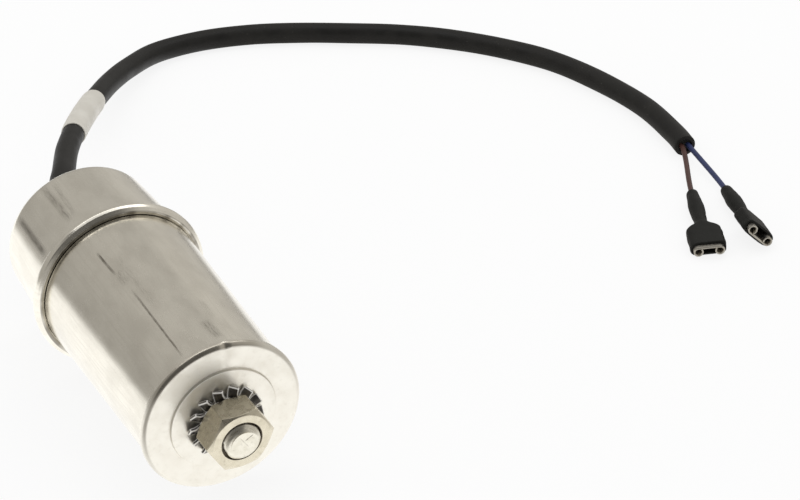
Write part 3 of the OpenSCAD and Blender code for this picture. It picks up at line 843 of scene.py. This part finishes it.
studAngles = anglesRound(stud["sides"])
rings = []
for d in stud["roundDeg"]:
    r = stud["endR"] - stud["endRound"] * (1 - math.cos(math.radians(90 - d)))
    z = axial["studEnd"] + stud["endRound"] * (1 - math.sin(math.radians(d)))
    rings.append([polar(r, a, z) for a in studAngles])
threadStart = axial["studEnd"] + stud["endRound"]
threadRun = axial["seat"] + stud["into"] - threadStart
for i in range(stud["steps"] + 1):
    z = threadStart + threadRun * i / stud["steps"]
    rings.append([polar(threadRadius(a, z), a, z) for a in studAngles])
points, faces = skin(rings, capStart=True, capEnd=True)
addPiece(makeMesh("studThread", points, faces, sharpDeg=50), (), canPlace, [studMetal])
print("stud threaded")

# end cap: a drawn cup whose mouth is rolled over the can's as a bead
cap = dict(
    sides=256, wallR=18.2, endR=17.2, corner=3.0, beadR=18.65, beadZ=52.5, bead=1.35,
    hollow=1.2,  # radius of the hollow behind the bead
    groove=0.15,  # gap between lip and can
    flats=[(0, 0.05), (22, 0.08), (60, 0.09)],  # rolled flats on the bead: degrees towards the foot, depth
    outlet=4.3, outletNeck=6, lipBack=1.2,
    backR=8,  # ring on the flat back
    beadSteps=40, hollowSteps=8, wallSteps=10, cornerSteps=9,
    uneven=(0.03, 0.05),  # outwards, along
    unevenReach=2.2, unevenScale=4, unevenSeed=3,
    backFrom=0.4,  # the back's finish starts this far before the end
)
hollowR = cap["wallR"] + cap["hollow"]
hollowZ = cap["beadZ"] + math.sqrt((cap["bead"] + cap["hollow"]) ** 2 - (hollowR - cap["beadR"]) ** 2)
meet = math.atan2(hollowZ - cap["beadZ"], hollowR - cap["beadR"])
lipR = can["mouthR"] + cap["groove"]
lipEnd = -math.acos((lipR - cap["beadR"]) / cap["bead"])
wallEnd = axial["capEnd"] - cap["corner"]
beadMiddle = Vector((cap["beadR"], cap["beadZ"]))


# stations from a first to a last value, the first left out
def spaced(first, last, steps):
    return [first + (last - first) * i / steps for i in range(1, steps + 1)]


beadArc = [(cap["beadR"] + cap["bead"] * math.cos(a), cap["beadZ"] + cap["bead"] * math.sin(a))
           for a in [lipEnd] + spaced(lipEnd, meet, cap["beadSteps"])]
for deg, depth in cap["flats"]:
    facing = Vector((math.cos(math.radians(deg)), -math.sin(math.radians(deg))))
    for i, spot in enumerate(beadArc):
        past = (Vector(spot) - beadMiddle).dot(facing) - (cap["bead"] - depth)
        beadArc[i] = tuple(Vector(spot) - facing * max(0, past))
hollowArc = [(hollowR + cap["hollow"] * math.cos(a), hollowZ + cap["hollow"] * math.sin(a))
             for a in spaced(meet + math.pi, math.pi, cap["hollowSteps"])]
wallRadii = spaced(cap["wallR"], cap["endR"], cap["wallSteps"])
capSide = list(zip(wallRadii, spaced(hollowZ, wallEnd, cap["wallSteps"])))
capCorner = [(cap["endR"] - cap["corner"] * (1 - math.cos(a)), wallEnd + cap["corner"] * math.sin(a))
             for a in spaced(0, math.pi / 2, cap["cornerSteps"])]
profile = [(lipR, cap["beadZ"] + cap["lipBack"])] + beadArc + hollowArc + capSide + capCorner
profile += [(cap["backR"], axial["capEnd"]), (cap["outlet"], axial["capEnd"]),
            (cap["outlet"], axial["capEnd"] - cap["outletNeck"])]


# the rolling tool left the bead and its lip a little uneven
def rolledShift(a, r, z):
    onBead = max(0, 1 - abs(z - cap["beadZ"]) / cap["unevenReach"])
    spot = Vector((math.sin(a) * cap["unevenScale"], math.cos(a) * cap["unevenScale"], cap["unevenSeed"]))
    rolled = noise.noise(spot)
    outwards, along = cap["uneven"]
    return onBead * outwards * rolled, onBead * along * rolled


points, faces = lathe(profile, cap["sides"], wobble=rolledShift)
capCup = addPiece(makeMesh("endCapCup", points, faces, sharpDeg=60), ["end_cap"],
                  canPlace, [capMetal, backMetal], weighted=True)
for face in capCup.data.polygons:
    if face.center.z > (axial["capEnd"] - cap["backFrom"]) * mm:
        face.material_index = 1
print("end cap turned")

# hexagon nut: flats cut by a cone at both ends, countersunk bore
nut = dict(
    flats=13.0, turnDeg=28, faceR=6.2, chamferDeg=30, bore=4.05, sink=0.45, perFlat=24,
    shadedSink=0.8,  # share of the countersink painted dark as shade
    edge=0.1, edgeSteps=3, edgeDeg=18,  # worn edges
)


def hexRadius(fromCorner):
    return nut["flats"] / 2 / math.cos(fromCorner % (math.pi / 3) - math.pi / 6)


slope = math.tan(math.radians(nut["chamferDeg"]))
sinkR = nut["bore"] + nut["sink"]
low, high = axial["nutEnd"], axial["nutSeat"]
sections = []
for fromCorner in anglesRound(6 * nut["perFlat"]):
    outerR = hexRadius(fromCorner)
    drop = (outerR - nut["faceR"]) * slope
    section = [(nut["bore"], low + nut["sink"]), (sinkR, low), (nut["faceR"], low), (outerR, low + drop),
               (outerR, high - drop), (nut["faceR"], high), (sinkR, high), (nut["bore"], high - nut["sink"])]
    sections.append([polar(r, fromCorner + math.radians(nut["turnDeg"]), z) for r, z in section])
points, faces = skin(list(zip(*sections)), closed=True)
nutPiece = addPiece(makeMesh("hexNut", points, faces), ["hex_nut"], canPlace,
                    [nutPlate, nutBoreShade])
# faces in the bore and the inner countersink take the painted shade
for face in nutPiece.data.polygons:
    if Vector(face.center[:2]).length < (nut["bore"] + nut["sink"] * nut["shadedSink"]) * mm:
        face.material_index = 1
rounding = nutPiece.modifiers.new("wornEdges", "BEVEL")
rounding.width = nut["edge"] * mm
rounding.segments = nut["edgeSteps"]
rounding.limit_method = "ANGLE"
rounding.angle_limit = math.radians(nut["edgeDeg"])
rounding.harden_normals = True
print("nut cut")

# lock washer: a flat ring with teeth twisted out of its plane, bright along their edges from wear and a
# painted highlight
washer = dict(
    teeth=14, boreR=4.05, ringR=6.0, outerR=8.25, sheet=0.8, height=1.9, toothW=2.3, twistDeg=-36,
    rootR=5.5,  # the teeth start inside the ring
    twistRate=1.8,  # over 1 ends the twist before the tip
    toothSteps=6, sides=96, sharpDeg=50,
    edge=0.22, edgeSteps=2, edgeDeg=40,  # bevel, worn bright and painted as a highlight
)
shape = bmesh.new()
middle = (axial["seat"] + axial["nutSeat"]) / 2
upright = Vector((0, 0, 1))


def addLoft(rings, closed=False):
    points, faces = skin(rings, closed)
    verts = [shape.verts.new(tuple(c * mm for c in p)) for p in points]
    for face in faces:
        shape.faces.new([verts[i] for i in face])
    if not closed:
        count = len(rings[0])
        shape.faces.new(verts[:count])
        shape.faces.new(verts[-count:])


halfSheet = washer["sheet"] / 2
halfHeight = washer["height"] / 2
ringProfile = [(washer["boreR"], middle - halfSheet), (washer["ringR"], middle - halfSheet),
               (washer["ringR"], middle + halfSheet), (washer["boreR"], middle + halfSheet)]
addLoft([[polar(r, a, z) for a in anglesRound(washer["sides"])] for r, z in ringProfile], closed=True)
for turn in anglesRound(washer["teeth"]):
    outward = Vector((math.cos(turn), math.sin(turn), 0))
    across = Vector((-math.sin(turn), math.cos(turn), 0))
    rings = []
    for i in range(washer["toothSteps"] + 1):
        share = i / washer["toothSteps"]
        r = washer["rootR"] + (washer["outerR"] - washer["rootR"]) * share
        angle = math.radians(washer["twistDeg"]) * min(1, share * washer["twistRate"])
        wide = (across * math.cos(angle) + upright * math.sin(angle)) * washer["toothW"] / 2
        thick = (upright * math.cos(angle) - across * math.sin(angle)) * halfSheet
        ring = []
        for u, v in ((-1, -1), (1, -1), (1, 1), (-1, 1)):
            p = outward * r + wide * u + thick * v
            p.z = max(-halfHeight, min(halfHeight, p.z))
            ring.append((p.x, p.y, p.z + middle))
        rings.append(ring)
    addLoft(rings)
bmesh.ops.recalc_face_normals(shape, faces=shape.faces)
edgeAngle = math.radians(washer["edgeDeg"])
sharp = [e for e in shape.edges if len(e.link_faces) == 2 and e.calc_face_angle(0) > edgeAngle]
bmesh.ops.bevel(shape, geom=sharp, offset=washer["edge"] * mm, segments=washer["edgeSteps"], profile=0.5,
                affect="EDGES", material=1)
washerMesh = bpy.data.meshes.new("lockWasher")
shape.to_mesh(washerMesh)
shape.free()
washerMesh.shade_smooth()
washerMesh.set_sharp_from_angle(angle=math.radians(washer["sharpDeg"]))
addPiece(washerMesh, ["lock_washer"], canPlace, [washerSteel, washerEdgeWearAndHighlight])
print("lock washer twisted")

# grommet: tapered collar round the cable on the back of the cap
grommet = dict(bore=2.78, neck=4.25, collar=5.5, nose=3.8, depth=6.0, foot=1.0, gap=0.01, heelRound=0.2,
               footRound=0.4, noseRound=0.35, sides=96, cornerSteps=5)
neckEnd = axial["capEnd"] - grommet["depth"]
collarStart = axial["capEnd"] + grommet["gap"]
corners = [(grommet["bore"], neckEnd, 0), (grommet["neck"], neckEnd, 0), (grommet["neck"], collarStart, 0),
           (grommet["collar"], collarStart, grommet["heelRound"]),
           (grommet["collar"], axial["capEnd"] + grommet["foot"], grommet["footRound"]),
           (grommet["nose"], axial["collarEnd"], grommet["noseRound"]),
           (grommet["bore"], axial["collarEnd"], 0)]
points, faces = lathe(roundCorners(corners, grommet["cornerSteps"]), grommet["sides"], closed=True)
addPiece(makeMesh("cableGrommet", points, faces, sharpDeg=60),
         ["cable_grommet"], canPlace, [grommetRubber], weighted=True)
print("grommet made")

# studio: white floor, grey surround above it, one wide lamp overhead and a dark side where the viewer stands
studio = dict(
    floorSize=6.0,
    floorTone=(0.96, 0.96, 0.955, 1),
    whiteShare=0.85,  # share of plain white the floor shows, the rest takes shadow
    whiteMiddle=(0, 0.03, 0),
    nearWhite=(0.12, 0.26),  # metres from there over which the white fades in reflections
    floorGlow=1.1,  # brightness of the white floor in reflections
    tint=(1, 0.97, 0.92),  # the grey surround is a little warm
    surround=0.36,
    overhead=0.46,
    rightLift=0.14,  # the right side is brighter by this
    rightSpan=(0.35, 0.65),
    rightFade=1.0,  # the white fades sooner to the right
    leftSpan=(-0.2, -0.5),
    frontSpan=(-0.3, -0.6),
    leftFrontFade=1.5,  # and to the front left
    darkSide=0.105,
    darkTiltDeg=40,  # the dark reaches from the front horizon to past the zenith
    darkFront=(0.25, 0.5),
    darkMiddle=-0.3,
    darkWide=(0.58, 0.85),  # sideways reach from its middle: full, none
    ambient=0.75,  # plain light on everything that isn't a mirror
    lampSize=(1.2, 0.26),
    lampPlace=(0.165, 0.21, 0.72),
    lampPower=1.4,
)


def plainGrey(level):
    return level, level, level, 1


# one level in the surround's warm grey
def warmGrey(tree, level):
    return scaled(tree, addNode(tree, "CombineXYZ", (level, level, level)).outputs[0], studio["tint"])


# two shaders mixed by a share, as the tree's result
def showMixed(tree, kind, share, first, second):
    mixed = addNode(tree, "MixShader", (share, first.outputs[0], second.outputs[0]))
    addNode(tree, kind, (mixed.outputs[0],))


# what the camera sees directly or through something clear
def seenPlainly(tree, paths):
    return calc(tree, "ADD", paths["Is Camera Ray"], paths["Is Transmission Ray"], clamp=True)


bpy.ops.mesh.primitive_plane_add(size=studio["floorSize"])
floor = bpy.context.object
floor.name = "floor"
floorPaper = bpy.data.materials.new("floorPaper")
floorPaper.use_nodes = True
tree = floorPaper.node_tree
tree.nodes.clear()
paths = addNode(tree, "LightPath").outputs
mirrored = paths["Is Glossy Ray"]
where = addNode(tree, "TexCoord").outputs["Object"]
bearing = addNode(tree, "SeparateXYZ", (vec(tree, "NORMALIZE", where),)).outputs
rightward = ramp(tree, bearing[0], *studio["rightSpan"])
leftward = ramp(tree, bearing[0], *studio["leftSpan"])
leftFront = calc(tree, "MULTIPLY", leftward, ramp(tree, bearing[1], *studio["frontSpan"]))
sooner = calc(tree, "ADD", calc(tree, "MULTIPLY", rightward, studio["rightFade"]),
              calc(tree, "MULTIPLY", leftFront, studio["leftFrontFade"]))
away = vec(tree, "DISTANCE", where, studio["whiteMiddle"])
far = ramp(tree, calc(tree, "MULTIPLY", away, calc(tree, "ADD", sooner, 1.0)), *studio["nearWhite"])
farLevel = calc(tree, "ADD", calc(tree, "MULTIPLY", rightward, studio["rightLift"]), studio["surround"])
nearTone = blend(tree, mirrored, plainGrey(1), plainGrey(studio["floorGlow"]))
paper = addNode(tree, "BsdfDiffuse", (studio["floorTone"],))
glowTone = blend(tree, calc(tree, "MULTIPLY", far, mirrored), nearTone, warmGrey(tree, farLevel))
glow = addNode(tree, "Emission", (glowTone, 1.0))
white = calc(tree, "MULTIPLY", seenPlainly(tree, paths), studio["whiteShare"])
showMixed(tree, "OutputMaterial", calc(tree, "ADD", white, mirrored, clamp=True), paper, glow)
floor.data.materials.append(floorPaper)

world = bpy.data.worlds.new("studio")
scene.world = world
world.use_nodes = True
tree = world.node_tree
tree.nodes.clear()
direction = addNode(tree, "TexCoord").outputs["Generated"]
parts = addNode(tree, "SeparateXYZ", (direction,)).outputs
sky = ramp(tree, parts[2], 0.0, 1.0, studio["surround"], studio["overhead"], smooth=False)
sky = calc(tree, "ADD", sky, ramp(tree, parts[0], *studio["rightSpan"], 0.0, studio["rightLift"]))
tilt = math.radians(studio["darkTiltDeg"])
toDark = vec(tree, "DOT_PRODUCT", direction, (0, -math.cos(tilt), math.sin(tilt)))
sideways = calc(tree, "ABSOLUTE", calc(tree, "SUBTRACT", parts[0], studio["darkMiddle"]))
dark = calc(tree, "MULTIPLY", ramp(tree, toDark, *studio["darkFront"]),
            ramp(tree, sideways, *studio["darkWide"], 1.0, 0.0))
sky = addNode(tree, "Mix", (dark, None, sky, studio["darkSide"]), data_type="FLOAT").outputs[0]
paths = addNode(tree, "LightPath").outputs
plain = addNode(tree, "Background", (plainGrey(1), 1.0))
tentTone = blend(tree, paths["Is Glossy Ray"], plainGrey(studio["ambient"]), warmGrey(tree, sky))
tent = addNode(tree, "Background", (tentTone, 1.0))
showMixed(tree, "OutputWorld", seenPlainly(tree, paths), tent, plain)

lampData = bpy.data.lights.new("overheadSoftbox", "AREA")
lampData.shape = "RECTANGLE"
lampData.size, lampData.size_y = studio["lampSize"]
lampData.energy = studio["lampPower"]
lamp = bpy.data.objects.new("overheadSoftbox", lampData)
lamp.location = studio["lampPlace"]
scene.collection.objects.link(lamp)
scene.view_settings.view_transform = "Standard"
print("studio lit")
